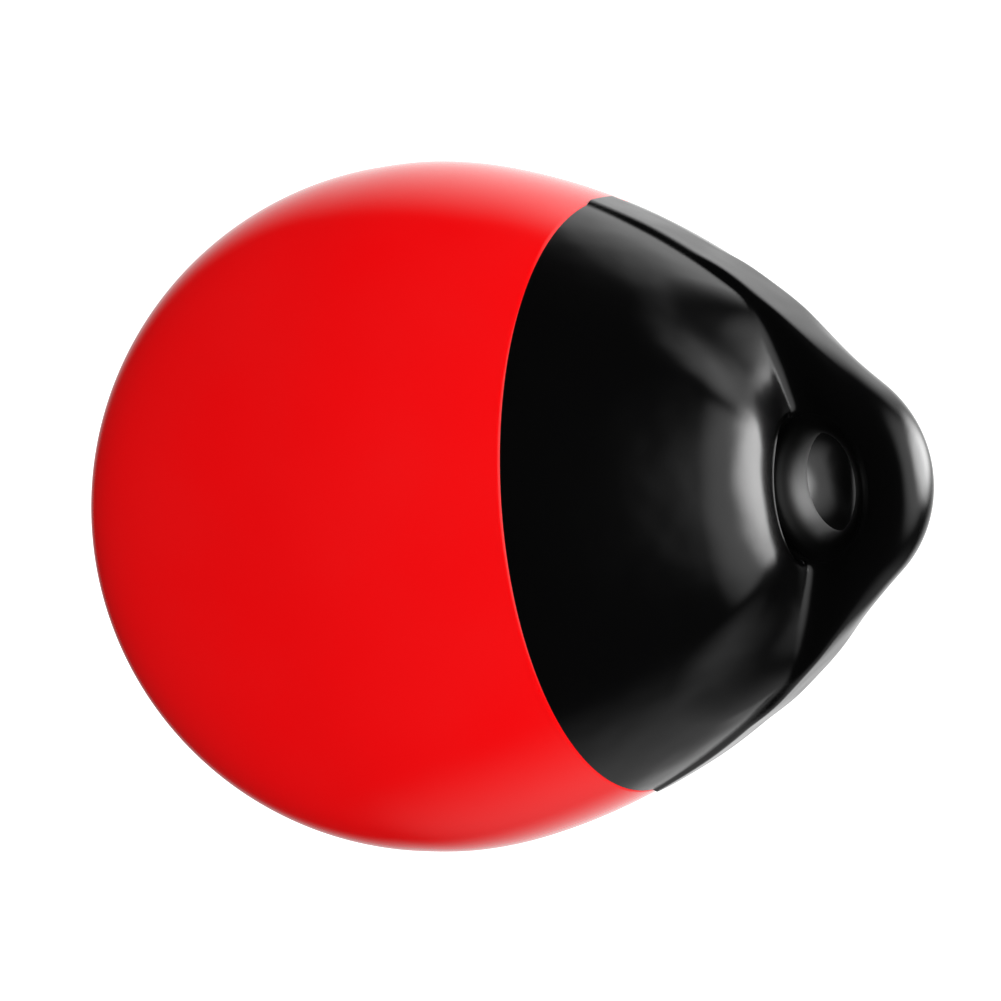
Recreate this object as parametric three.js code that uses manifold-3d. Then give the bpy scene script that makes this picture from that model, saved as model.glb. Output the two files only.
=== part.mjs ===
// Inflatable ball fender with a rope eye, in millimetres, +Z up, nose up.
// Heights below are measured from the middle of the eye's ring. The finished part is lowered by HOLE_RISE,
// so that its origin is the middle of the eye's hole, which runs along Y.
import * as THREE from 'three';
import { mergeVertices } from 'three/addons/utils/BufferGeometryUtils.js';
import Module from 'manifold-3d';

const wasm = await Module();
wasm.setup();
const { Manifold, Mesh: SolidMesh } = wasm;

// Ball
const BALL_RADIUS = 145;
const RING_ABOVE_BALL = 171.5;
const BALL_Z = -RING_ABOVE_BALL;
const WALL = 3.2;
const POLE_WALL = 4.2;
const POLE_WALL_EASE = 0.5;

// Colour line, where the black nose is fused to the red ball
const COLOUR_LINE_Z = -78.5;
const COLOUR_LINE_RADIUS = 121.8;

// Outside of the ball above its middle, and of the nose above the colour line: [radius, height]
const SHOULDER_PROFILE = [
  [144.6, -157], [143.1, -143.5], [140.6, -130.5], [137.3, -118.4],
  [133.5, -106.5], [129.5, -96.1], [125.1, -86],
];
const NOSE_PROFILE = [
  [117.6, -70], [113.1, -61.7], [105, -48.4], [95.9, -34.6], [85.7, -20.7],
  [76.3, -8.8], [68.9, -1.9], [61.5, 1.8],
];
const NOSE_TOP_Z = 3.2;
const NOSE_TOP_RADIUS = 52;

// Rope eye: a ring, a web that fills its lower part, and the oval hole through them
const RING_RADIUS = 34.6;
const RING_TUBE = 16.6;
const RING_OUTER = RING_RADIUS + RING_TUBE;
const WEB_HALF_THICKNESS = 15;
const HOLE_HALF_WIDTH = 20.4;
const HOLE_HALF_HEIGHT = 12.9;
const HOLE_RISE = 8.8;
const HOLE_EDGE = 4;

// Scooped pocket that opens the eye to the front and to the back
const POCKET_REACH = 44.5;
const POCKET_END_LENGTH = 36;
const POCKET_HALF_HEIGHT = 30;
const POCKET_HALF_WIDTH = 34;
const POCKET_FLOOR_Z = -18;
const POCKET_Z = POCKET_FLOOR_Z + POCKET_HALF_HEIGHT;

// Hollows between the bulging front or back of the nose and the ribs, one in each quarter
const HOLLOW_RADIUS = 34;
const HOLLOW_TOP = [57, 37, 31];
const HOLLOW_FOOT = [89, 62, 4];

// Ribs that carry the eye down both sides. Between two shares of its length a rib deepens to the ring's tube,
// and from a share on it turns from square to round.
const FLANK_ANGLE = THREE.MathUtils.degToRad(42.5);
const FLANK_PROUD = 0.9;
const RIB_PROUD = 1.6;
const RIB_FOOT_PROUD = 0.9;
const RIB_FOOT_DROP = 7;
const RIB_FOOT_REACH = 2.9;
const RIB_END_SINK = 0.3;
const RIB_HALF_WIDTH = 13.5;
const RIB_SWELL = 1.8;
const RIB_HALF_DEPTH = 11;
const RIB_SQUARENESS = 5;
const RIB_DEEPENS = [0.25, 0.65];
const RIB_ROUNDS_FROM = 0.35;
const RIB_STATIONS = 16;
const RIB_SIDES = 24;

// Air space inside the nose: the wall beside it low and high on the flank, then [radius, height]
const NOSE_WALL_LOW = 3.6;
const NOSE_WALL_HIGH = 6.7;
const AIR_CORNER = [82, -31.5];
const AIR_SHELF = [50, -26.5];
const AIR_TOP_Z = -26;
const AIR_PASSES_LINE = 1;

// Inflation valve in the back of the nose
const VALVE_SEAT_SINK = 0.2;
const VALVE_SEAT_RADIUS = NOSE_PROFILE[3][0] - VALVE_SEAT_SINK;
const VALVE_SEAT_Z = NOSE_PROFILE[3][1];
const VALVE_TILT = THREE.MathUtils.degToRad(57);
const VALVE_RECESS = 2.2;
const VALVE_RECESS_RADIUS = 13;
const VALVE_BOSS_RADIUS = 15;
const VALVE_BOSS_DEPTH = 17;
const INSERT_FLANGE_RADIUS = 11;
const INSERT_FLANGE_THICKNESS = 2.4;
const INSERT_BARREL_RADIUS = 8.2;
const INSERT_LENGTH = 14;
const INSERT_EDGE = 0.5;
const SCREW_HEAD_RADIUS = 6;
const SCREW_HEAD_THICKNESS = 3;
const SCREW_HEAD_BELOW = 0.5;
const SCREW_SHANK_RADIUS = 3.2;
const SCREW_LENGTH = 11;
const SCREW_EDGE = 0.5;
const SLOT_WIDTH = 1.4;
const SLOT_DEPTH = 1.3;
const SEAL_THICKNESS = 1.6;
const SEAL_OUTER_RADIUS = 5.9;
const SEAL_INNER_RADIUS = 3.6;
const FIT_GAP = 0.3;

// Fineness
const ROUND_SIDES = 64;
const RING_SIDES = 40;
const TUBE_SIDES = 20;
const POCKET_SIDES = 28;
const POCKET_STEPS = 8;
const HOLE_SIDES = 40;
const EDGE_STEPS = 3;
const SMALL_SIDES = 32;
const BALL_STEPS = 11;
const NOSE_STEPS = 17;
const AIR_STEPS = 9;
const CUT_MARGIN = 20;

function smoothLine(points, steps) {
  const curve = new THREE.CatmullRomCurve3(
    points.map(([r, z]) => new THREE.Vector3(r, z, 0)), false, 'centripetal');
  return curve.getPoints(steps).map((p) => [p.x, p.y]);
}

// A profile of [radius, height] pairs turned about Z
function turned(profile, sides) {
  const points = profile.map(([r, z]) => new THREE.Vector2(Math.max(r, 0), z));
  return new THREE.LatheGeometry(points, sides).rotateX(Math.PI / 2);
}

function signedVolume(positions, triangles) {
  let total = 0;
  const a = new THREE.Vector3();
  const b = new THREE.Vector3();
  const c = new THREE.Vector3();
  for (let i = 0; i < triangles.length; i += 3) {
    a.fromArray(positions, triangles[i] * 3);
    b.fromArray(positions, triangles[i + 1] * 3);
    c.fromArray(positions, triangles[i + 2] * 3);
    total += a.dot(b.cross(c)) / 6;
  }
  return total;
}

// A closed geometry as a solid with outward faces, for joining and cutting
function solid(geometry) {
  const bare = geometry.clone();
  for (const name of Object.keys(bare.attributes)) {
    if (name !== 'position') bare.deleteAttribute(name);
  }
  const merged = mergeVertices(bare, 1e-4);
  const positions = merged.attributes.position.array;
  const source = merged.index.array;
  const triangles = [];
  for (let i = 0; i < source.length; i += 3) {
    const [p, q, r] = [source[i], source[i + 1], source[i + 2]];
    if (p !== q && q !== r && r !== p) triangles.push(p, q, r);
  }
  if (signedVolume(positions, triangles) < 0) triangles.reverse();
  return new Manifold(new SolidMesh({
    numProp: 3,
    vertProperties: new Float32Array(positions),
    triVerts: new Uint32Array(triangles),
  }));
}

function geometryOf(body) {
  const mesh = body.getMesh();
  const geometry = new THREE.BufferGeometry();
  const positions = new Float32Array(mesh.numVert * 3);
  for (let i = 0; i < mesh.numVert; i += 1) {
    for (let k = 0; k < 3; k += 1) {
      positions[i * 3 + k] = mesh.vertProperties[i * mesh.numProp + k];
    }
  }
  geometry.setAttribute('position', new THREE.BufferAttribute(positions, 3));
  geometry.setIndex(new THREE.BufferAttribute(new Uint32Array(mesh.triVerts), 1));
  const flat = geometry.toNonIndexed();
  flat.computeVertexNormals();
  return flat;
}

// Outline of the ball below the colour line, offset inward by the wall where wanted
function ballLine(inward, poleInward, steps) {
  const arc = [];
  for (let i = 0; i <= steps; i += 1) {
    const share = i / steps;
    const angle = (share - 1) * (Math.PI / 2);
    const radius = BALL_RADIUS - (poleInward + (inward - poleInward) * share ** POLE_WALL_EASE);
    arc.push([radius * Math.cos(angle), BALL_Z + radius * Math.sin(angle)]);
  }
  arc[0][0] = 0;
  const shoulder = SHOULDER_PROFILE.map(([r, z]) => [r - inward, z]);
  return [...arc, ...shoulder, [COLOUR_LINE_RADIUS - inward, COLOUR_LINE_Z]];
}

const outerBall = ballLine(0, 0, BALL_STEPS);
const innerBall = ballLine(WALL, POLE_WALL, BALL_STEPS);
const ballShell = turned([...outerBall, ...innerBall.reverse()], ROUND_SIDES);

// Nose body, solid at first
const noseLine = smoothLine(
  [[COLOUR_LINE_RADIUS, COLOUR_LINE_Z], ...NOSE_PROFILE, [NOSE_TOP_RADIUS, NOSE_TOP_Z]],
  NOSE_STEPS);
const noseBody = solid(turned(
  [[0, COLOUR_LINE_Z], ...noseLine, [0, NOSE_TOP_Z]], ROUND_SIDES));

// Pocket: an oval bar along Y with rounded ends
const pocketEnd = [];
for (let i = 0; i <= POCKET_STEPS; i += 1) {
  const angle = (i / POCKET_STEPS) * (Math.PI / 2);
  pocketEnd.push([
    POCKET_HALF_HEIGHT * Math.cos(angle),
    POCKET_REACH - POCKET_END_LENGTH * (1 - Math.sin(angle)),
  ]);
}
pocketEnd[POCKET_STEPS][0] = 0;
const pocketLine = [...pocketEnd.map(([r, y]) => [r, -y]).reverse(), ...pocketEnd];
const pocket = solid(turned(pocketLine, POCKET_SIDES)
  .rotateX(-Math.PI / 2)
  .scale(POCKET_HALF_WIDTH / POCKET_HALF_HEIGHT, 1, 1)
  .translate(0, 0, POCKET_Z));

// One hollow as a round-ended bar from the ring's root down over the shoulder
function hollow(sideX, sideY) {
  const top = new THREE.Vector3(HOLLOW_TOP[0] * sideX, HOLLOW_TOP[1] * sideY, HOLLOW_TOP[2]);
  const foot = new THREE.Vector3(HOLLOW_FOOT[0] * sideX, HOLLOW_FOOT[1] * sideY, HOLLOW_FOOT[2]);
  const length = top.distanceTo(foot);
  const end = [];
  for (let i = 0; i <= POCKET_STEPS; i += 1) {
    const angle = (i / POCKET_STEPS) * (Math.PI / 2);
    end.push([HOLLOW_RADIUS * Math.cos(angle), length / 2 + HOLLOW_RADIUS * Math.sin(angle)]);
  }
  end[POCKET_STEPS][0] = 0;
  const line = [...end.map(([r, y]) => [r, -y]).reverse(), ...end];
  const turn = new THREE.Quaternion().setFromUnitVectors(
    new THREE.Vector3(0, 0, 1), top.clone().sub(foot).normalize());
  const middle = top.add(foot).multiplyScalar(0.5);
  return solid(turned(line, POCKET_SIDES)
    .applyQuaternion(turn)
    .translate(middle.x, middle.y, middle.z));
}

const ring = solid(new THREE.TorusGeometry(RING_RADIUS, RING_TUBE, TUBE_SIDES, RING_SIDES)
  .rotateX(Math.PI / 2));
const web = solid(turned([
  [0, -WEB_HALF_THICKNESS], [RING_RADIUS, -WEB_HALF_THICKNESS],
  [RING_RADIUS, WEB_HALF_THICKNESS], [0, WEB_HALF_THICKNESS],
], RING_SIDES).rotateX(-Math.PI / 2));

// Hole: an oval bar along Y that widens round the web's edges
const holeMouth = [];
for (let i = 0; i <= EDGE_STEPS; i += 1) {
  const angle = (i / EDGE_STEPS) * (Math.PI / 2);
  holeMouth.push([
    HOLE_HALF_WIDTH + HOLE_EDGE * (1 - Math.cos(angle)),
    WEB_HALF_THICKNESS - HOLE_EDGE * (1 - Math.sin(angle)),
  ]);
}
const holeEnd = RING_TUBE + HOLE_EDGE;
holeMouth.push([HOLE_HALF_WIDTH + HOLE_EDGE, holeEnd], [0, holeEnd]);
const holeLine = [...holeMouth.map(([r, y]) => [r, -y]).reverse(), ...holeMouth];
const hole = solid(turned(holeLine, HOLE_SIDES)
  .rotateX(-Math.PI / 2)
  .scale(1, 1, HOLE_HALF_HEIGHT / HOLE_HALF_WIDTH)
  .translate(0, 0, HOLE_RISE));

// Crest of the ribs, [distance from the axis, height]: along the flank, then straight to the ring
const cornerReach = RING_OUTER - RIB_END_SINK;
const flankRadius = RING_OUTER / Math.cos(FLANK_ANGLE) + FLANK_PROUD;
const ribCrest = new THREE.CatmullRomCurve3([
  [COLOUR_LINE_RADIUS + RIB_FOOT_PROUD + RIB_FOOT_REACH, COLOUR_LINE_Z - RIB_FOOT_DROP],
  [COLOUR_LINE_RADIUS + RIB_FOOT_PROUD, COLOUR_LINE_Z],
  [NOSE_PROFILE[1][0] + RIB_PROUD, NOSE_PROFILE[1][1]],
  [NOSE_PROFILE[2][0] + RIB_PROUD, NOSE_PROFILE[2][1]],
  [NOSE_PROFILE[3][0] + RIB_PROUD, NOSE_PROFILE[3][1]],
  [flankRadius - NOSE_PROFILE[4][1] * Math.tan(FLANK_ANGLE), NOSE_PROFILE[4][1]],
  [flankRadius, 0],
  [cornerReach * Math.cos(FLANK_ANGLE), cornerReach * Math.sin(FLANK_ANGLE)],
].map(([r, z]) => new THREE.Vector3(r, 0, z)), false, 'centripetal');

// One rib as rounded sections under its crest
function ribGeometry(side) {
  const positions = [];
  const triangles = [];
  for (let i = 0; i <= RIB_STATIONS; i += 1) {
    const share = i / RIB_STATIONS;
    const crest = ribCrest.getPointAt(share);
    const along = ribCrest.getTangentAt(share);
    const outward = new THREE.Vector3(along.z, 0, -along.x);
    const ease = THREE.MathUtils.smoothstep(share, ...RIB_DEEPENS);
    const depth = THREE.MathUtils.lerp(RIB_HALF_DEPTH, RING_TUBE - RIB_END_SINK, ease);
    const width = THREE.MathUtils.lerp(RIB_HALF_WIDTH, RING_TUBE - RIB_END_SINK, ease)
      + RIB_SWELL * Math.sin(Math.PI * share);
    const rounding = THREE.MathUtils.smoothstep(share, RIB_ROUNDS_FROM, 1);
    const power = 2 / THREE.MathUtils.lerp(RIB_SQUARENESS, 2, rounding);
    for (let k = 0; k < RIB_SIDES; k += 1) {
      const angle = (k / RIB_SIDES) * 2 * Math.PI;
      const c = Math.cos(angle);
      const s = Math.sin(angle);
      const u = Math.sign(c) * Math.abs(c) ** power * depth - depth;
      const v = Math.sign(s) * Math.abs(s) ** power * width;
      positions.push(side * (crest.x + outward.x * u), v, crest.z + outward.z * u);
    }
  }
  const first = positions.length / 3;
  for (const i of [0, RIB_STATIONS]) {
    const share = i / RIB_STATIONS;
    const crest = ribCrest.getPointAt(share);
    const along = ribCrest.getTangentAt(share);
    const depth = i === 0 ? RIB_HALF_DEPTH : RING_TUBE;
    positions.push(side * (crest.x - along.z * depth), 0, crest.z + along.x * depth);
  }
  for (let i = 0; i < RIB_STATIONS; i += 1) {
    for (let k = 0; k < RIB_SIDES; k += 1) {
      const next = (k + 1) % RIB_SIDES;
      const a = i * RIB_SIDES + k;
      const b = i * RIB_SIDES + next;
      triangles.push(a, b, a + RIB_SIDES, b, b + RIB_SIDES, a + RIB_SIDES);
    }
  }
  const last = RIB_STATIONS * RIB_SIDES;
  for (let k = 0; k < RIB_SIDES; k += 1) {
    const next = (k + 1) % RIB_SIDES;
    triangles.push(first, next, k, first + 1, last + k, last + next);
  }
  const geometry = new THREE.BufferGeometry();
  geometry.setAttribute('position', new THREE.Float32BufferAttribute(positions, 3));
  geometry.setIndex(triangles);
  return geometry;
}

// Everything below the colour line, and the air space inside the nose, which passes that line a little
const belowLine = solid(turned([
  [0, COLOUR_LINE_Z - CUT_MARGIN], [COLOUR_LINE_RADIUS + CUT_MARGIN, COLOUR_LINE_Z - CUT_MARGIN],
  [COLOUR_LINE_RADIUS + CUT_MARGIN, COLOUR_LINE_Z], [0, COLOUR_LINE_Z],
], ROUND_SIDES));
const airLine = smoothLine([
  [COLOUR_LINE_RADIUS - WALL, COLOUR_LINE_Z],
  [NOSE_PROFILE[0][0] - NOSE_WALL_LOW, NOSE_PROFILE[0][1]],
  [NOSE_PROFILE[2][0] - NOSE_WALL_HIGH, NOSE_PROFILE[2][1]],
  AIR_CORNER,
  AIR_SHELF,
  [0, AIR_TOP_Z],
], AIR_STEPS);
airLine[airLine.length - 1][0] = 0;
const airSpace = solid(turned(
  [[0, COLOUR_LINE_Z - AIR_PASSES_LINE], [COLOUR_LINE_RADIUS - WALL, COLOUR_LINE_Z - AIR_PASSES_LINE],
    ...airLine],
  ROUND_SIDES));

// The valve is drawn along Z with its outer face at zero, then set into the back of the nose
function seatValve(geometry) {
  return geometry.rotateX(-VALVE_TILT).translate(0, VALVE_SEAT_RADIUS, VALVE_SEAT_Z);
}

const insertTop = -VALVE_RECESS;
const flangeBottom = insertTop - INSERT_FLANGE_THICKNESS;
const insertBottom = insertTop - INSERT_LENGTH;
const headTop = insertTop - SCREW_HEAD_BELOW;
const headBottom = headTop - SCREW_HEAD_THICKNESS;
const sealTop = headBottom - FIT_GAP;
const sealBottom = sealTop - SEAL_THICKNESS;
const seatStep = sealBottom - FIT_GAP;
const headBore = SCREW_HEAD_RADIUS + FIT_GAP;
const shankBore = SCREW_SHANK_RADIUS + FIT_GAP;

const boss = solid(seatValve(turned([
  [0, -VALVE_BOSS_DEPTH - VALVE_RECESS], [VALVE_BOSS_RADIUS, -VALVE_BOSS_DEPTH - VALVE_RECESS],
  [VALVE_BOSS_RADIUS, insertTop], [0, insertTop],
], SMALL_SIDES)));
const valveSeat = solid(seatValve(turned([
  [0, insertBottom - FIT_GAP],
  [INSERT_BARREL_RADIUS + FIT_GAP, insertBottom - FIT_GAP],
  [INSERT_BARREL_RADIUS + FIT_GAP, flangeBottom - FIT_GAP],
  [INSERT_FLANGE_RADIUS + FIT_GAP, flangeBottom - FIT_GAP],
  [INSERT_FLANGE_RADIUS + FIT_GAP, insertTop],
  [VALVE_RECESS_RADIUS, insertTop],
  [VALVE_RECESS_RADIUS + VALVE_RECESS, CUT_MARGIN],
  [0, CUT_MARGIN],
], SMALL_SIDES)));

const noseOutside = noseBody
  .subtract(pocket)
  .subtract(hollow(1, 1))
  .subtract(hollow(1, -1))
  .subtract(hollow(-1, 1))
  .subtract(hollow(-1, -1))
  .add(ring)
  .add(web)
  .add(solid(ribGeometry(1)))
  .add(solid(ribGeometry(-1)))
  .subtract(hole);
const ropeNose = geometryOf(noseOutside
  .subtract(airSpace)
  .add(boss.intersect(noseBody))
  .subtract(belowLine)
  .subtract(valveSeat));

const valveInsert = seatValve(turned([
  [shankBore, insertBottom], [INSERT_BARREL_RADIUS, insertBottom],
  [INSERT_BARREL_RADIUS, flangeBottom], [INSERT_FLANGE_RADIUS, flangeBottom],
  [INSERT_FLANGE_RADIUS, insertTop - INSERT_EDGE], [INSERT_FLANGE_RADIUS - INSERT_EDGE, insertTop],
  [headBore, insertTop], [headBore, seatStep], [shankBore, seatStep], [shankBore, insertBottom],
], SMALL_SIDES));

const valveSeal = seatValve(turned([
  [SEAL_INNER_RADIUS, sealBottom], [SEAL_OUTER_RADIUS, sealBottom],
  [SEAL_OUTER_RADIUS, sealTop], [SEAL_INNER_RADIUS, sealTop], [SEAL_INNER_RADIUS, sealBottom],
], SMALL_SIDES));

const screwBlank = solid(turned([
  [0, headTop - SCREW_LENGTH], [SCREW_SHANK_RADIUS - SCREW_EDGE, headTop - SCREW_LENGTH],
  [SCREW_SHANK_RADIUS, headTop - SCREW_LENGTH + SCREW_EDGE], [SCREW_SHANK_RADIUS, headBottom],
  [SCREW_HEAD_RADIUS, headBottom], [SCREW_HEAD_RADIUS, headTop - SCREW_EDGE],
  [SCREW_HEAD_RADIUS - SCREW_EDGE, headTop], [0, headTop],
], SMALL_SIDES));
const slot = solid(new THREE.BoxGeometry(4 * SCREW_HEAD_RADIUS, SLOT_WIDTH, 2 * SLOT_DEPTH)
  .translate(0, 0, headTop));
const valveScrew = seatValve(geometryOf(screwBlank.subtract(slot)));

function node(name, geometry, colour, roughness) {
  const material = new THREE.MeshStandardMaterial({ color: colour, roughness, metalness: 0 });
  material.name = name;
  const mesh = new THREE.Mesh(geometry.translate(0, 0, -HOLE_RISE), material);
  mesh.name = name;
  return mesh;
}

const fender = new THREE.Group();
fender.name = 'ball_fender';
fender.add(
  node('ball_shell', ballShell, 0xe60208, 0.25),
  node('rope_nose', ropeNose, 0x101012, 0.28),
  node('valve_insert', valveInsert, 0x1b1b1d, 0.45),
  node('valve_seal', valveSeal, 0x232323, 0.7),
  node('valve_screw', valveScrew, 0xe8e4d8, 0.4),
);

export default fender;
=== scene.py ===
import bpy
import numpy as np
from mathutils import Matrix, Vector


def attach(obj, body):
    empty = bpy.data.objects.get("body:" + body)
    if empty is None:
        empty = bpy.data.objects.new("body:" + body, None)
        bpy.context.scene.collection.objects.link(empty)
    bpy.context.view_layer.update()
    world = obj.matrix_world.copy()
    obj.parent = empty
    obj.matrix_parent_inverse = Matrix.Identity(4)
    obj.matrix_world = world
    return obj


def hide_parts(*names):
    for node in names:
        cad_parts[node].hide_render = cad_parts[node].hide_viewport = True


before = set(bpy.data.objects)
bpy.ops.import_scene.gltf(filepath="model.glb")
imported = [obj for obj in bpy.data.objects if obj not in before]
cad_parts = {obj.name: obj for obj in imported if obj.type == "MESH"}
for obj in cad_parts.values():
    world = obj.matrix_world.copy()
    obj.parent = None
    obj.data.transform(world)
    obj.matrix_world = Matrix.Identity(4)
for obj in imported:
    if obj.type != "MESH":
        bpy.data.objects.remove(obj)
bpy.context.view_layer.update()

MM = 0.001

# Ball and nose, in metres, with +Z out of the nose. Heights are measured from the middle of the eye's ring, and
# every piece is lowered by HOLE_RISE, so that the origin is the middle of the eye's hole.
BALL_RADIUS = 145 * MM
BALL_Z = -171.5 * MM
WALL = 3.2 * MM
COLOUR_LINE_Z = -78.5 * MM
# Share of the ball's radius at a height of t ball radii above its middle: terms of 1, t, t2, t3, t4
FLANK_CURVE = (1.015, -0.0734, -0.3145, 0.0242, -0.029)
# Values of t between which the sphere eases into that curve
SHOULDER_START, SHOULDER_END = -0.05, 0.28
NOSE_TOP_Z = 3.2 * MM
SHOULDER_ROUNDING = 17 * MM

# Rope eye and its pocket. A power sets how square a rounded edge is: 2 gives a round one.
RING_RADIUS = 34.6 * MM
RING_TUBE = 16.6 * MM
RING_OUTER = RING_RADIUS + RING_TUBE
RIM_POWER = 2.3
HOLE_HALF_WIDTH = 20.4 * MM
HOLE_HALF_HEIGHT = 12.9 * MM
HOLE_RISE = 8.8 * MM
HOLE_FLARE = 13 * MM
MOUTH_POWER = 2.6
POCKET_REACH = 44.5 * MM
POCKET_END_LENGTH = 36 * MM
POCKET_HALF_HEIGHT = 30 * MM
POCKET_HALF_WIDTH = 34 * MM
POCKET_Z = 12 * MM
POCKET_EDGE = 3 * MM

# Ribs and the hollows beside them
FLANK_ANGLE = np.radians(42.5)
FLANK_PROUD = 0.9 * MM
RIB_PROUD = 1.6 * MM
RIB_FOOT_PROUD = 0.9 * MM
RIB_HALF_WIDTH = 13.5 * MM
RIB_SWELL = 1.8 * MM
RIB_EDGE = 4 * MM
HOLLOW_RADIUS = 34 * MM
HOLLOW_TOP = np.array([57, 37, 31]) * MM
HOLLOW_FOOT = np.array([89, 62, 4]) * MM
HOLLOW_EDGE = 14 * MM
FILLET_AT_FOOT, FILLET_AT_RING = 2 * MM, 9 * MM

# Heights between which one form eases into the next
RIB_LIFTS = (COLOUR_LINE_Z, COLOUR_LINE_Z + 30 * MM)
RIB_SWELLS = (-55 * MM, 0)
RIB_STRAIGHTENS = (-36 * MM, -10 * MM)
PROUD_FADES = (30 * MM, 0)
RIB_ROUNDS = (-2 * MM, 30 * MM)
FILLET_GROWS = (-22 * MM, 15 * MM)

# Valve in the back of the nose
VALVE_SEAT = np.array([0, 95.7, -34.6]) * MM
VALVE_TILT = np.radians(57)
VALVE_RECESS = 2.2 * MM
VALVE_RECESS_RADIUS = 13 * MM
RECESS_FLARE = 0.6
RECESS_WALL_SCALE = 0.8
RECESS_LIP = 2 * MM
WELL_LIP = 1.5 * MM
FLANGE_RADIUS = 11 * MM
FLANGE_THICKNESS = 2.4 * MM
BARREL_RADIUS = 8.2 * MM
INSERT_LENGTH = 14 * MM
INSERT_EDGE = 0.5 * MM
HEAD_BORE = 6.3 * MM
SHANK_BORE = 3.5 * MM
SCREW_HEAD_RADIUS = 6 * MM
SCREW_HEAD_THICKNESS = 3 * MM
SCREW_HEAD_EDGE = 1 * MM
SCREW_SHANK_RADIUS = 3.2 * MM
SCREW_SHANK_EDGE = 0.8 * MM
SCREW_LENGTH = 11 * MM
SCREW_BELOW = 0.5 * MM
SLOT_WIDTH = 1.4 * MM
SLOT_DEPTH = 1.3 * MM
SLOT_EDGE = 0.4 * MM
SEAL_THICKNESS = 1.6 * MM
FIT_GAP = 0.3 * MM

# Fineness of the meshes
BALL_STEPS, BALL_SIDES = 150, 256
INSERT_SIDES = 72
CELL = 1.5 * MM
SCREW_CELL = 0.25 * MM
SLOPE_STEP = 0.2 * MM

# Finishes: features per metre of each pattern, and how much it changes the surface
TONE_PATCHES = 9
SHEEN_PATCHES = 22
WAVES = 45
SHEEN_SPREAD = 0.02
GRAIN_DEPTH = 0.2 * MM
WAVE_DEPTH = 1 * MM
PLASTIC_IOR = 1.5
# Roughness added in the eye's hole, how far it reaches along the hole, and the ovals between which it fades, in
# sizes of the hole
DULLNESS = 0.35
DULL_REACH = 24 * MM
DULL_WITHIN, DULL_UP_TO = 1.3, 1.7

# Studio: white behind, but dark where the vinyl mirrors it, as the photo's black nose shows
DARK_STUDIO = 0.01
WORLD_FILL = 0.87
FLOOR_TONE = 0.78
FLOOR_LIFT = 0.7
FLOOR_Z = -1.6
FLOOR_REACH = 8
MIDDLE = (0, 0, -0.12)

# Camera
AZIMUTH, ELEVATION, ROLL = np.radians(-6.5), np.radians(27.0), np.radians(3.65)
DISTANCE = 12 * BALL_RADIUS
RIGHTWARD, UPWARD = -27.24 * MM, -2.745 * MM
SENSOR_WIDTH = 36
LENS_LENGTH = 148.16


# Formulas


def smoothstep(low, high, x):
    """0 below low, 1 above high, and 3s2 - 2s3 of the share s between them. It falls where low is above high."""
    s = np.clip((x - low) / (high - low), 0.0, 1.0)
    return s * s * (3.0 - 2.0 * s)


def eased(first, second, low, high, x):
    """first below low, second above high, and first plus a smoothstep of their difference between them."""
    return first + (second - first) * smoothstep(low, high, x)


def soft_max(a, b, k):
    """The larger of a and b, with the corner between them filled over a width k."""
    h = np.maximum(k - np.abs(a - b), 0.0) / k
    return np.maximum(a, b) + h * h * k * 0.25


def soft_min(a, b, k):
    """The smaller of a and b, with the corner between them filled over a width k."""
    return -soft_max(-a, -b, k)


def flank_radius(z):
    """Outside radius at height z: a sphere below the middle of the ball, easing into a quartic above it."""
    t = (z - BALL_Z) / BALL_RADIUS
    sphere = np.sqrt(np.maximum(1.0 - t * t, 0.0))
    c = FLANK_CURVE
    quartic = c[0] + t * (c[1] + t * (c[2] + t * (c[3] + t * c[4])))
    return BALL_RADIUS * eased(sphere, quartic, SHOULDER_START, SHOULDER_END, t)


def flank_slope(z):
    """Cosine of the flank's slope, which turns a radial distance into a distance square to the flank."""
    step = 0.5 * MM
    rise = (flank_radius(z + step) - flank_radius(z - step)) / (2 * step)
    return 1.0 / np.sqrt(1.0 + rise * rise)


# Shape of the nose


def capsule(x, y, z, a, b, radius):
    """Distance to a round-ended bar: the distance to the segment from a to b, less the radius."""
    along = b - a
    share = ((x - a[0]) * along[0] + (y - a[1]) * along[1] + (z - a[2]) * along[2]) / (along @ along)
    share = np.clip(share, 0.0, 1.0)
    return np.sqrt((x - a[0] - share * along[0]) ** 2 + (y - a[1] - share * along[1]) ** 2
                   + (z - a[2] - share * along[2]) ** 2) - radius


def crest_reach(z):
    """How far a rib's crest lies from the axis at height z: just proud of the flank at first, then the straight
    line that touches the ring's outer circle at the flank angle."""
    low = flank_radius(z) + eased(RIB_FOOT_PROUD, RIB_PROUD, *RIB_LIFTS, z)
    proud = FLANK_PROUD * smoothstep(*PROUD_FADES, z)
    straight = RING_OUTER / np.cos(FLANK_ANGLE) - z * np.tan(FLANK_ANGLE) + proud
    return eased(low, straight, *RIB_STRAIGHTENS, z)


def past_hole(x, z):
    """Distance in the XZ plane outward from the edge of the eye's oval hole: q - 1 over the slope of q, where q is
    the distance from the hole's middle in sizes of the hole."""
    u, w = x / HOLE_HALF_WIDTH, (z - HOLE_RISE) / HOLE_HALF_HEIGHT
    level = np.sqrt(u * u + w * w) + 1e-9
    return (level - 1.0) * level / (np.sqrt((u / HOLE_HALF_WIDTH) ** 2 + (w / HOLE_HALF_HEIGHT) ** 2) + 1e-9)


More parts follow.
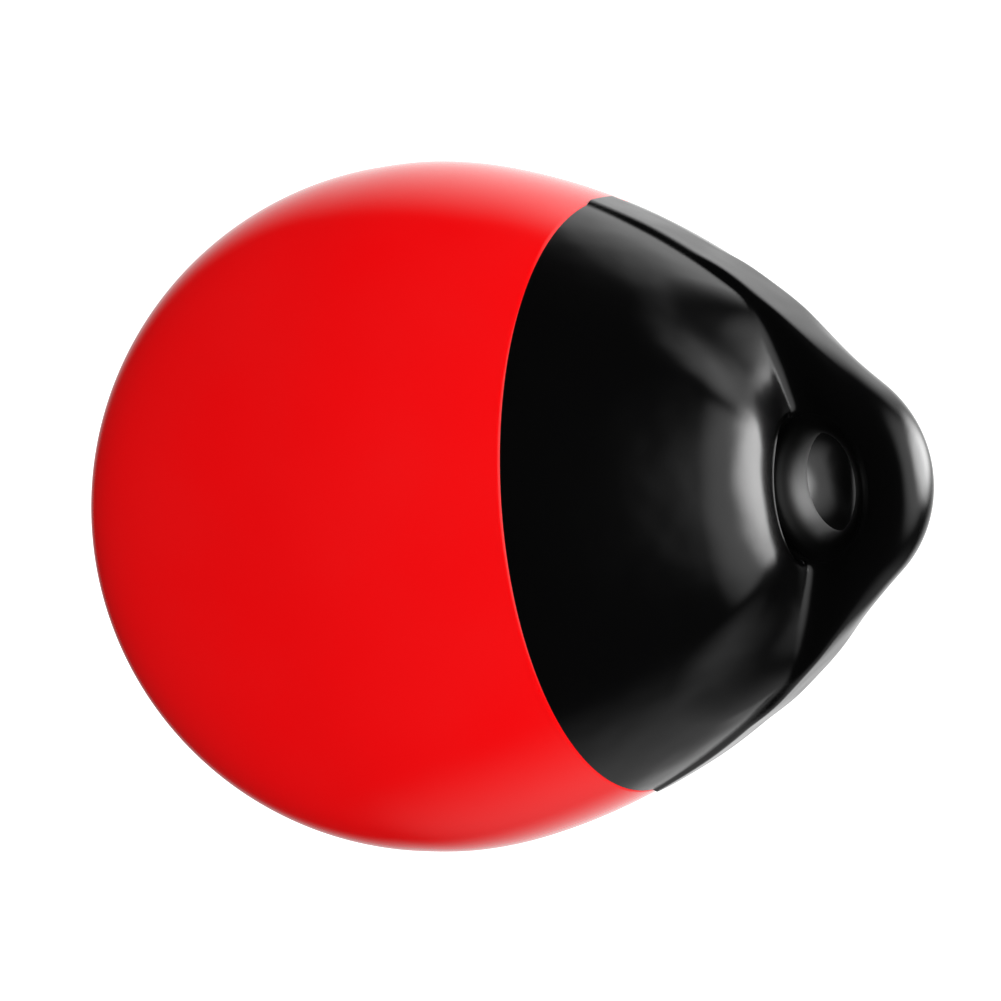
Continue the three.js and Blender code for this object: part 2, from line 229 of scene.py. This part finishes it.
def eye_field(x, y, z):
    """Below zero inside the eye, a plate in the XZ plane. Its outer edge and the mouth of its hole are rounded over
    a tube radius, as the root of a sum of powers. Down the flank the edge turns into a rib with crisp corners."""
    below = (x - crest_reach(z)) * np.cos(FLANK_ANGLE)
    around = np.sqrt(x * x + z * z) - RING_OUTER
    outside = np.where(z * np.cos(FLANK_ANGLE) > x * np.sin(FLANK_ANGLE), around, below)
    rim = (np.maximum(outside + RING_TUBE, 0.0) ** RIM_POWER + y ** RIM_POWER) ** (1 / RIM_POWER) - RING_TUBE
    slab = soft_max(outside, y - RIB_HALF_WIDTH - RIB_SWELL * smoothstep(*RIB_SWELLS, z), RIB_EDGE)
    plate = eased(slab, rim, *RIB_ROUNDS, z)
    inward = RING_TUBE * np.maximum(1.0 - past_hole(x, z) / HOLE_FLARE, 0.0)
    mouth = (inward ** MOUTH_POWER + y ** MOUTH_POWER) ** (1 / MOUTH_POWER) - RING_TUBE
    return np.maximum(plate, mouth)


def nose_field(x, y, z):
    """Below zero inside the nose. The revolved flank and its flat top, joined softly, lose four hollows and the
    pocket, and gain the eye, joined softly."""
    x, y = np.abs(x), np.abs(y)
    radius = np.sqrt(x * x + y * y)
    body = (radius - flank_radius(z)) * flank_slope(z)
    body = soft_max(body, z - NOSE_TOP_Z, SHOULDER_ROUNDING)
    hollow = capsule(x, y, z, HOLLOW_TOP, HOLLOW_FOOT, HOLLOW_RADIUS)
    body = soft_max(body, -hollow, HOLLOW_EDGE)
    end = np.maximum(y - (POCKET_REACH - POCKET_END_LENGTH), 0.0) / POCKET_END_LENGTH
    pocket = np.sqrt((x / POCKET_HALF_WIDTH) ** 2 + ((z - POCKET_Z) / POCKET_HALF_HEIGHT) ** 2 + end ** 2)
    body = soft_max(body, (1.0 - pocket) * POCKET_HALF_HEIGHT, POCKET_EDGE)
    return soft_min(body, eye_field(x, y, z), eased(FILLET_AT_FOOT, FILLET_AT_RING, *FILLET_GROWS, z))


def nose_with_valve(x, y, z):
    """The nose, cut flat at the colour line and sunk at the back for the valve: a recess with a flared wall, a well
    for the insert's flange and a deeper one for its barrel."""
    across = (y - VALVE_SEAT[1]) * np.sin(VALVE_TILT) + (z - VALVE_SEAT[2]) * np.cos(VALVE_TILT)
    side = (y - VALVE_SEAT[1]) * np.cos(VALVE_TILT) - (z - VALVE_SEAT[2]) * np.sin(VALVE_TILT)
    spread = np.sqrt(x * x + side * side)
    flared_wall = (spread - VALVE_RECESS_RADIUS - RECESS_FLARE * (across + VALVE_RECESS)) * RECESS_WALL_SCALE
    recess = np.maximum(-VALVE_RECESS - across, flared_wall)
    flange_well = np.maximum(-(VALVE_RECESS + FLANGE_THICKNESS + FIT_GAP) - across, spread - FLANGE_RADIUS - FIT_GAP)
    barrel_well = np.maximum(-(VALVE_RECESS + INSERT_LENGTH + FIT_GAP) - across, spread - BARREL_RADIUS - FIT_GAP)
    cut = soft_min(recess, np.minimum(flange_well, barrel_well), WELL_LIP)
    return np.maximum(soft_max(nose_field(x, y, z), -cut, RECESS_LIP), COLOUR_LINE_Z - z)


# The nose's ring makes a handle, which a grid of two parameters can't close, so its surface is found in a field


def implicit_mesh(field, low, high, cell):
    """The zero surface of a field as quads. Every cell of a grid that the surface crosses has one point, the mean of
    the crossings on its edges, and every grid edge that it crosses has one quad, between the four cells round it."""
    axes = [np.arange(low[i], high[i] + cell, cell) for i in range(3)]
    x, y, z = np.meshgrid(*axes, indexing="ij")
    value = field(x, y, z)
    corner = np.array(value.shape) - 1
    total = np.zeros((*corner, 3))
    count = np.zeros(corner)
    for axis in range(3):
        a = value.take(range(0, value.shape[axis] - 1), axis)
        b = value.take(range(1, value.shape[axis]), axis)
        crosses = (a < 0) != (b < 0)
        share = np.where(crosses, a / np.where(crosses, a - b, 1.0), 0.0)
        others = [k for k in range(3) if k != axis]
        for s0 in (0, 1):
            for s1 in (0, 1):
                pick = [slice(None)] * 3
                pick[others[0]] = slice(s0, s0 + corner[others[0]])
                pick[others[1]] = slice(s1, s1 + corner[others[1]])
                hit = crosses[tuple(pick)]
                place = np.zeros((*corner, 3))
                place[..., axis] = share[tuple(pick)]
                place[..., others[0]] = s0
                place[..., others[1]] = s1
                total += place * hit[..., None]
                count += hit
    used = count > 0
    index = np.full(used.shape, -1)
    index[used] = np.arange(used.sum())
    cells = np.argwhere(used)
    points = low + (cells + total[used] / count[used][:, None]) * cell
    quads = []
    for axis in range(3):
        a = value.take(range(0, value.shape[axis] - 1), axis)
        b = value.take(range(1, value.shape[axis]), axis)
        u, v = [(1, 2), (2, 0), (0, 1)][axis]
        edge = np.argwhere((a < 0) != (b < 0))
        leaves = (a < 0)[tuple(edge.T)]
        step_u, step_v = np.zeros(3, int), np.zeros(3, int)
        step_u[u], step_v[v] = 1, 1
        ring = [edge - step_u - step_v, edge - step_v, edge, edge - step_u]
        ids = np.stack([index[tuple(c.T)] for c in ring], axis=1)
        quads.append(np.where(leaves[:, None], ids, ids[:, ::-1]))
    return points, np.concatenate(quads), cells


def field_slope(field, points):
    """Slope of a field at points, by differences over a small step each way."""
    slope = np.empty_like(points)
    for axis in range(3):
        shift = np.zeros(3)
        shift[axis] = SLOPE_STEP
        slope[:, axis] = (field(*(points + shift).T) - field(*(points - shift).T)) / (2 * SLOPE_STEP)
    return slope


def settle(field, points, quads, rounds, rim=None):
    """Evens out a mesh on its own surface: each point moves half of the way to the mean of its neighbours, and then
    back along the field's slope until the field is zero. Rim points are held on the rim."""
    starts = np.concatenate([quads.ravel(), np.roll(quads, 1, axis=1).ravel()])
    ends = np.concatenate([np.roll(quads, 1, axis=1).ravel(), quads.ravel()])
    degree = np.bincount(starts, minlength=len(points))[:, None]
    flattest = 0.05
    for turn in range(rounds):
        mean = np.stack([np.bincount(starts, points[ends, k], len(points)) for k in range(3)], axis=1) / degree
        if turn < rounds - 1:
            points = points + 0.5 * (mean - points)
        for _ in range(2):
            slope = field_slope(field, points)
            size = np.maximum((slope * slope).sum(axis=1), flattest)
            points = points - slope * np.clip(field(*points.T) / size, -CELL, CELL)[:, None]
        if rim is not None:
            points[rim] = rim_points(points[rim])
    return points


def on_rim(low, cells):
    """Which cells hold the nose's lower rim: those at the colour line whose upper corners the outside passes."""
    base = low + cells * CELL
    inside = [nose_field(base[:, 0] + i * CELL, base[:, 1] + j * CELL, base[:, 2] + CELL) < 0
              for i in (0, 1) for j in (0, 1)]
    return (base[:, 2] < COLOUR_LINE_Z) & np.any(inside, axis=0) & ~np.all(inside, axis=0)


def rim_points(points):
    """Points near the nose's lower rim, moved onto it: level with the colour line and on the outside surface."""
    points = points.copy()
    points[:, 2] = COLOUR_LINE_Z
    for _ in range(3):
        slope = field_slope(nose_field, points)[:, :2]
        points[:, :2] -= slope * (nose_field(*points.T) / (slope * slope).sum(axis=1))[:, None]
    return points


# Meshes


def add_mesh(name, points, faces, material, smooth=True):
    """A mesh object at the origin from an array of points and a list of faces."""
    mesh = bpy.data.meshes.new(name)
    mesh.from_pydata((points - (0, 0, HOLE_RISE)).tolist(), [], faces)
    mesh.polygons.foreach_set("use_smooth", np.full(len(mesh.polygons), smooth))
    mesh.materials.append(material)
    mesh.update()
    piece = bpy.data.objects.new(name, mesh)
    bpy.context.collection.objects.link(piece)
    return piece


def sharpen(piece, at_rim):
    """Marks the edges between rim points as sharp, so that the two faces beside them are shaded apart."""
    ends = np.empty(2 * len(piece.data.edges), int)
    piece.data.edges.foreach_get("vertices", ends)
    piece.data.edges.foreach_set("use_edge_sharp", at_rim[ends.reshape(-1, 2)].all(axis=1))


def turned_mesh(profile, sides, loop=False):
    """A profile of (radius, height) turned about Z: x = r cos u, y = r sin u, z = h. A profile point on the axis is
    one point, so that the pole is closed. With loop, the profile's last point joins its first."""
    radius, height = np.asarray(profile, float).T
    pole = radius < 1e-9
    start = np.concatenate([[0], np.cumsum(np.where(pole, 1, sides))])
    angle = np.arange(sides) * 2 * np.pi / sides
    rows = [np.array([[0.0, 0.0, h]]) if at_pole else
            np.stack([r * np.cos(angle), r * np.sin(angle), np.full(sides, h)], axis=1)
            for r, h, at_pole in zip(radius, height, pole)]
    this = np.arange(sides)
    after = (this + 1) % sides
    faces = []
    for i in range(len(radius) if loop else len(radius) - 1):
        j = (i + 1) % len(radius)
        low, low_after = (start[i] + 0 * this,) * 2 if pole[i] else (start[i] + this, start[i] + after)
        top, top_after = (start[j] + 0 * this,) * 2 if pole[j] else (start[j] + this, start[j] + after)
        if pole[i]:
            corners = [low, top_after, top]
        elif pole[j]:
            corners = [low, low_after, top]
        else:
            corners = [low, low_after, top_after, top]
        faces += np.stack(corners, axis=1).tolist()
    return np.concatenate(rows), faces


def rounded(profile, radius, steps=4):
    """A profile with each inner corner replaced by a quadratic curve that starts and ends radius away from it, but
    less than half a side away."""
    profile = np.asarray(profile, float)
    out = [profile[:1]]
    share = np.linspace(0, 1, steps + 1)[:, None]
    for before, corner, after in zip(profile[:-2], profile[1:-1], profile[2:]):
        lead, trail = before - corner, after - corner
        reach = min(radius, 0.45 * np.hypot(*lead), 0.45 * np.hypot(*trail))
        a = corner + lead / np.hypot(*lead) * reach
        b = corner + trail / np.hypot(*trail) * reach
        out.append((1 - share) ** 2 * a + 2 * share * (1 - share) * corner + share ** 2 * b)
    return np.concatenate(out + [profile[-1:]])


def seated_valve(points):
    """Valve pieces are formed about Z with their outer face at zero, then tilted about X and set in the nose."""
    x, y, z = np.asarray(points).T
    return np.stack([x, y * np.cos(VALVE_TILT) + z * np.sin(VALVE_TILT) + VALVE_SEAT[1],
                     z * np.cos(VALVE_TILT) - y * np.sin(VALVE_TILT) + VALVE_SEAT[2]], axis=1)


def ball_profile():
    """Outer wall from the bottom pole to the colour line, at the flank's radius, and the inner wall back down, every
    third point of the outer wall moved one wall thickness square to it."""
    top = np.arccos((COLOUR_LINE_Z - BALL_Z) / BALL_RADIUS)
    angle = np.linspace(np.pi, top, BALL_STEPS)
    height = BALL_Z + BALL_RADIUS * np.cos(angle)
    outer = np.stack([flank_radius(height), height], axis=1)
    outer[0, 0] = 0.0
    tangent = np.gradient(outer, axis=0)
    tangent /= np.hypot(*tangent.T)[:, None]
    inner = outer + WALL * np.stack([-tangent[:, 1], tangent[:, 0]], axis=1)
    inner[0, 0] = 0.0
    clear_of_edge = 0.5 * MM
    inner = inner[inner[:, 1] < COLOUR_LINE_Z - clear_of_edge]
    edge = np.array([[outer[-1, 0] - WALL, COLOUR_LINE_Z]])
    return np.concatenate([outer, edge, inner[::3][::-1]])


def insert_profile():
    """Flanged barrel of the valve insert as a closed loop, with its outer corners eased."""
    top = -VALVE_RECESS
    under = top - FLANGE_THICKNESS
    end = top - INSERT_LENGTH
    step = top - SCREW_BELOW - SCREW_HEAD_THICKNESS - SEAL_THICKNESS - 2 * FIT_GAP
    loop = np.array([[SHANK_BORE, end], [BARREL_RADIUS, end], [BARREL_RADIUS, under], [FLANGE_RADIUS, under],
                     [FLANGE_RADIUS, top], [HEAD_BORE, top], [HEAD_BORE, step], [SHANK_BORE, step],
                     [SHANK_BORE, end]])
    return rounded(loop, INSERT_EDGE)[:-1]


def screw_field(x, y, z):
    """Below zero inside the valve screw: a flat head on a plain shank, less a slot, all with eased edges."""
    top = -VALVE_RECESS - SCREW_BELOW
    spread = np.sqrt(x * x + y * y)
    in_head = np.abs(z - top + SCREW_HEAD_THICKNESS / 2) - SCREW_HEAD_THICKNESS / 2
    in_length = np.abs(z - top + SCREW_LENGTH / 2) - SCREW_LENGTH / 2
    head = soft_max(spread - SCREW_HEAD_RADIUS, in_head, SCREW_HEAD_EDGE)
    shank = soft_max(spread - SCREW_SHANK_RADIUS, in_length, SCREW_SHANK_EDGE)
    slot = np.maximum(np.abs(y) - SLOT_WIDTH / 2, top - SLOT_DEPTH - z)
    return soft_max(np.minimum(head, shank), -slot, SLOT_EDGE)


# Materials


def noise(tree, place, scale, detail):
    """A noise texture on object coordinates, of the given features per metre."""
    node = tree.nodes.new("ShaderNodeTexNoise")
    node.inputs["Scale"].default_value = scale
    node.inputs["Detail"].default_value = detail
    node.inputs["Roughness"].default_value = 0.5
    tree.links.new(place, node.inputs["Vector"])
    return node.outputs["Fac"]


def spread_over(tree, value, low, high, from_low=0.2, from_high=0.8):
    """Maps a value from one range onto another. The first range is the one that noise fills, if none is given."""
    node = tree.nodes.new("ShaderNodeMapRange")
    node.inputs["From Min"].default_value = from_low
    node.inputs["From Max"].default_value = from_high
    node.inputs["To Min"].default_value = low
    node.inputs["To Max"].default_value = high
    tree.links.new(value, node.inputs["Value"])
    return node.outputs["Result"]


def mixed_colour(tree, share, first, second):
    """Two colours mixed by a share."""
    node = tree.nodes.new("ShaderNodeMix")
    node.data_type = "RGBA"
    node.inputs["A"].default_value = (*first, 1)
    node.inputs["B"].default_value = (*second, 1)
    tree.links.new(share, node.inputs["Factor"])
    return node.outputs["Result"]


def vector_step(tree, operation, vector, other=(0, 0, 0)):
    """One step of arithmetic on a vector, with another vector where the step needs one."""
    node = tree.nodes.new("ShaderNodeVectorMath")
    node.operation = operation
    node.inputs[1].default_value = other
    tree.links.new(vector, node.inputs[0])
    return node.outputs["Value" if operation == "LENGTH" else "Vector"]


def summed(tree, first, second):
    """The sum of two values."""
    node = tree.nodes.new("ShaderNodeMath")
    node.operation = "ADD"
    tree.links.new(first, node.inputs[0])
    tree.links.new(second, node.inputs[1])
    return node.outputs["Value"]


def relief(tree, height, strength, depth):
    """A bump node that stands for a relief of the given depth."""
    node = tree.nodes.new("ShaderNodeBump")
    node.inputs["Strength"].default_value = strength
    node.inputs["Distance"].default_value = depth
    tree.links.new(height, node.inputs["Height"])
    return node


def dulled_in_hole(tree, place, roughness):
    """Adds roughness inside the eye's oval hole, where the mould's core leaves the vinyl dull."""
    in_sizes = vector_step(tree, "MULTIPLY", place, (1 / HOLE_HALF_WIDTH, 1 / DULL_REACH, 1 / HOLE_HALF_HEIGHT))
    ovals = vector_step(tree, "LENGTH", in_sizes)
    return summed(tree, spread_over(tree, ovals, DULLNESS, 0, DULL_WITHIN, DULL_UP_TO), roughness)


def moulded(name, tone, other_tone, roughness, grain, grain_scale, waves=0.0, dull_hole=False):
    """A moulded plastic or rubber: two close tones in soft patches, an uneven sheen, a fine grain, soft waves."""
    material = bpy.data.materials.new(name)
    material.use_nodes = True
    tree = material.node_tree
    shader = tree.nodes["Principled BSDF"]
    shader.inputs["IOR"].default_value = PLASTIC_IOR
    place = tree.nodes.new("ShaderNodeTexCoord").outputs["Object"]
    patches = spread_over(tree, noise(tree, place, TONE_PATCHES, 1), 0, 1)
    tree.links.new(mixed_colour(tree, patches, tone, other_tone), shader.inputs["Base Color"])
    sheen = noise(tree, place, SHEEN_PATCHES, 2)
    sheen = spread_over(tree, sheen, roughness - SHEEN_SPREAD, roughness + SHEEN_SPREAD)
    if dull_hole:
        sheen = dulled_in_hole(tree, place, sheen)
    tree.links.new(sheen, shader.inputs["Roughness"])
    fine = relief(tree, noise(tree, place, grain_scale, 2), grain, GRAIN_DEPTH)
    tree.links.new(fine.outputs["Normal"], shader.inputs["Normal"])
    if waves:
        swell = relief(tree, noise(tree, place, WAVES, 1), waves, WAVE_DEPTH)
        tree.links.new(swell.outputs["Normal"], fine.inputs["Normal"])
    return material


red_vinyl = moulded("red_vinyl", (0.97, 0.0, 0.0016), (0.93, 0.0, 0.0014), 0.13, grain=0.03, grain_scale=260)
black_vinyl = moulded("black_vinyl", (0.0016, 0.0016, 0.0017), (0.0013, 0.0013, 0.0014), 0.2, grain=0.04,
                      grain_scale=300, waves=0.5, dull_hole=True)
valve_plastic = moulded("valve_plastic", (0.02, 0.02, 0.022), (0.016, 0.016, 0.018), 0.42, grain=0.1, grain_scale=900)
seal_rubber = moulded("seal_rubber", (0.03, 0.03, 0.03), (0.024, 0.024, 0.024), 0.7, grain=0.2, grain_scale=900)
screw_nylon = moulded("screw_nylon", (0.78, 0.76, 0.68), (0.73, 0.71, 0.63), 0.38, grain=0.08, grain_scale=900)


# Pieces


def place_piece(piece, node):
    """The piece moves with the fender and stands in for its CAD node, which is hidden."""
    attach(piece, "root")
    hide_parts(node)
    return piece


place_piece(add_mesh("ball", *turned_mesh(ball_profile(), BALL_SIDES), red_vinyl), "ball_shell")

nose_reach = 130 * MM
nose_low = np.array([-nose_reach, -nose_reach, COLOUR_LINE_Z - 1.5 * CELL])
nose_high = np.array([nose_reach, nose_reach, RING_OUTER + 3 * MM])
nose_points, nose_quads, nose_cells = implicit_mesh(nose_with_valve, nose_low, nose_high, CELL)
at_rim = on_rim(nose_low, nose_cells)
nose_points = settle(nose_with_valve, nose_points, nose_quads, 5, at_rim)
nose = place_piece(add_mesh("nose", nose_points, nose_quads.tolist(), black_vinyl), "rope_nose")
sharpen(nose, at_rim)

insert_points, insert_faces = turned_mesh(insert_profile(), INSERT_SIDES, loop=True)
place_piece(add_mesh("valve_plug_body", seated_valve(insert_points), insert_faces, valve_plastic),
            "valve_insert")

screw_low = np.array([-7, -7, -15]) * MM
screw_high = np.array([7, 7, -2]) * MM
screw_points, screw_quads, _ = implicit_mesh(screw_field, screw_low, screw_high, SCREW_CELL)
screw_points = settle(screw_field, screw_points, screw_quads, 3)
place_piece(add_mesh("valve_plug_screw", seated_valve(screw_points), screw_quads.tolist(), screw_nylon),
            "valve_screw")

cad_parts["valve_seal"].data.materials.clear()
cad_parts["valve_seal"].data.materials.append(seal_rubber)


# Studio


def whitened(material_name, diffuse):
    """A pale floor that the camera sees as white; its shade still falls where the fender stands over it."""
    material = bpy.data.materials.new(material_name)
    material.use_nodes = True
    tree = material.node_tree
    shader = tree.nodes["Principled BSDF"]
    shader.inputs["Base Color"].default_value = (diffuse, diffuse, diffuse, 1)
    shader.inputs["Roughness"].default_value = 1.0
    shader.inputs["Specular IOR Level"].default_value = 0.0
    shader.inputs["Emission Color"].default_value = (1, 1, 1, 1)
    rays = tree.nodes.new("ShaderNodeLightPath")
    seen = summed(tree, rays.outputs["Is Camera Ray"], rays.outputs["Is Transmission Ray"])
    seen.node.use_clamp = True
    lift = tree.nodes.new("ShaderNodeMath")
    lift.operation = "MULTIPLY"
    lift.inputs[1].default_value = FLOOR_LIFT
    tree.links.new(seen, lift.inputs[0])
    tree.links.new(lift.outputs["Value"], shader.inputs["Emission Strength"])
    dark = tree.nodes.new("ShaderNodeEmission")
    dark.inputs["Strength"].default_value = DARK_STUDIO
    either = tree.nodes.new("ShaderNodeMixShader")
    tree.links.new(rays.outputs["Is Glossy Ray"], either.inputs[0])
    tree.links.new(shader.outputs[0], either.inputs[1])
    tree.links.new(dark.outputs[0], either.inputs[2])
    tree.links.new(either.outputs[0], tree.nodes["Material Output"].inputs["Surface"])
    return material


# The fender hangs by its eye over a pale floor that lies well below it
floor_points = FLOOR_REACH * np.array([[-1, -1, 0], [1, -1, 0], [1, 1, 0], [-1, 1, 0]]) + (0, 0, FLOOR_Z)
floor = add_mesh("floor", floor_points, [[0, 1, 2, 3]], whitened("floor_paper", FLOOR_TONE), smooth=False)


def softbox(name, place, size, brightness, even=0.3, gloss_only=False):
    """A large lamp that faces the fender: even over its middle, then fading out to an oval edge.

    One that is gloss_only is mirrored in the vinyl but doesn't overlight the pale valve screw.
    """
    lamp = bpy.data.lights.new(name, "AREA")
    lamp.shape = "RECTANGLE"
    lamp.size, lamp.size_y = size
    lamp.energy = brightness * np.pi * size[0] * size[1]
    lamp.use_nodes = True
    tree = lamp.node_tree
    across = tree.nodes.new("ShaderNodeNewGeometry").outputs["Parametric"]
    from_middle = vector_step(tree, "LENGTH", vector_step(tree, "SUBTRACT", across, (0.5, 0.5, 0)))
    fade = spread_over(tree, from_middle, 1, 0, 0.5 * even, 0.5)
    fade.node.interpolation_type = "SMOOTHSTEP"
    tree.links.new(fade, tree.nodes["Emission"].inputs["Strength"])
    rig = bpy.data.objects.new(name, lamp)
    rig.location = place
    rig.rotation_euler = (Vector(MIDDLE) - Vector(place)).to_track_quat("-Z", "Y").to_euler()
    rig.visible_camera = False
    rig.visible_diffuse = not gloss_only
    bpy.context.collection.objects.link(rig)


softbox("softbox_over", (-0.08, 0.88, 1.06), (1.4, 2.6), 8, gloss_only=True)
softbox("softbox_top", (0, 0, 1.1), (2.5, 2.5), 1.4)
softbox("softbox_back", (-0.15, 1.15, -0.36), (4.2, 2.3), 1.2, even=0.2, gloss_only=True)
softbox("softbox_right", (1.2, 0.5, 0.0), (2.0, 2.2), 0.4, even=0.0)
softbox("softbox_left", (-0.95, 0.95, 0.4), (1.6, 1.8), 1.3, even=0.0)


def chosen(tree, share, if_one, if_zero):
    """if_one where the share is 1, if_zero where it is 0."""
    node = tree.nodes.new("ShaderNodeMix")
    tree.links.new(share, node.inputs["Factor"])
    for socket, value in ((node.inputs["A"], if_zero), (node.inputs["B"], if_one)):
        if isinstance(value, float):
            socket.default_value = value
        else:
            tree.links.new(value, socket)
    return node.outputs["Result"]


world = bpy.data.worlds.new("studio")
bpy.context.scene.world = world
world.use_nodes = True
world.cycles.sampling_method = "NONE"
tree = world.node_tree
rays = tree.nodes.new("ShaderNodeLightPath")
strength = chosen(tree, rays.outputs["Is Glossy Ray"], DARK_STUDIO, WORLD_FILL)
strength = chosen(tree, rays.outputs["Is Camera Ray"], 1.0, strength)
strength = chosen(tree, rays.outputs["Is Transmission Ray"], 1.0, strength)
tree.nodes["Background"].inputs["Color"].default_value = (1, 1, 1, 1)
tree.links.new(strength, tree.nodes["Background"].inputs["Strength"])


# Camera, placed so that the ball's middle falls at the same place in the picture as in the photo

back = np.array([np.sin(AZIMUTH) * np.cos(ELEVATION), -np.cos(AZIMUTH) * np.cos(ELEVATION), np.sin(ELEVATION)])
level = np.array([np.cos(AZIMUTH), np.sin(AZIMUTH), 0.0])
upright = np.cross(back, level)
right = upright * np.cos(ROLL) + level * np.sin(ROLL)
top = np.cross(back, right)
spot = np.array([0, 0, BALL_Z - HOLE_RISE]) + DISTANCE * back - RIGHTWARD * right - UPWARD * top
lens = bpy.data.cameras.new("camera")
lens.sensor_width = SENSOR_WIDTH
lens.lens = LENS_LENGTH
camera = bpy.data.objects.new("camera", lens)
bpy.context.collection.objects.link(camera)
turn = np.eye(4)
turn[:3, 0], turn[:3, 1], turn[:3, 2], turn[:3, 3] = right, top, back, spot
camera.matrix_world = Matrix(turn.tolist())
bpy.context.scene.camera = camera
bpy.context.scene.view_settings.view_transform = "Standard"
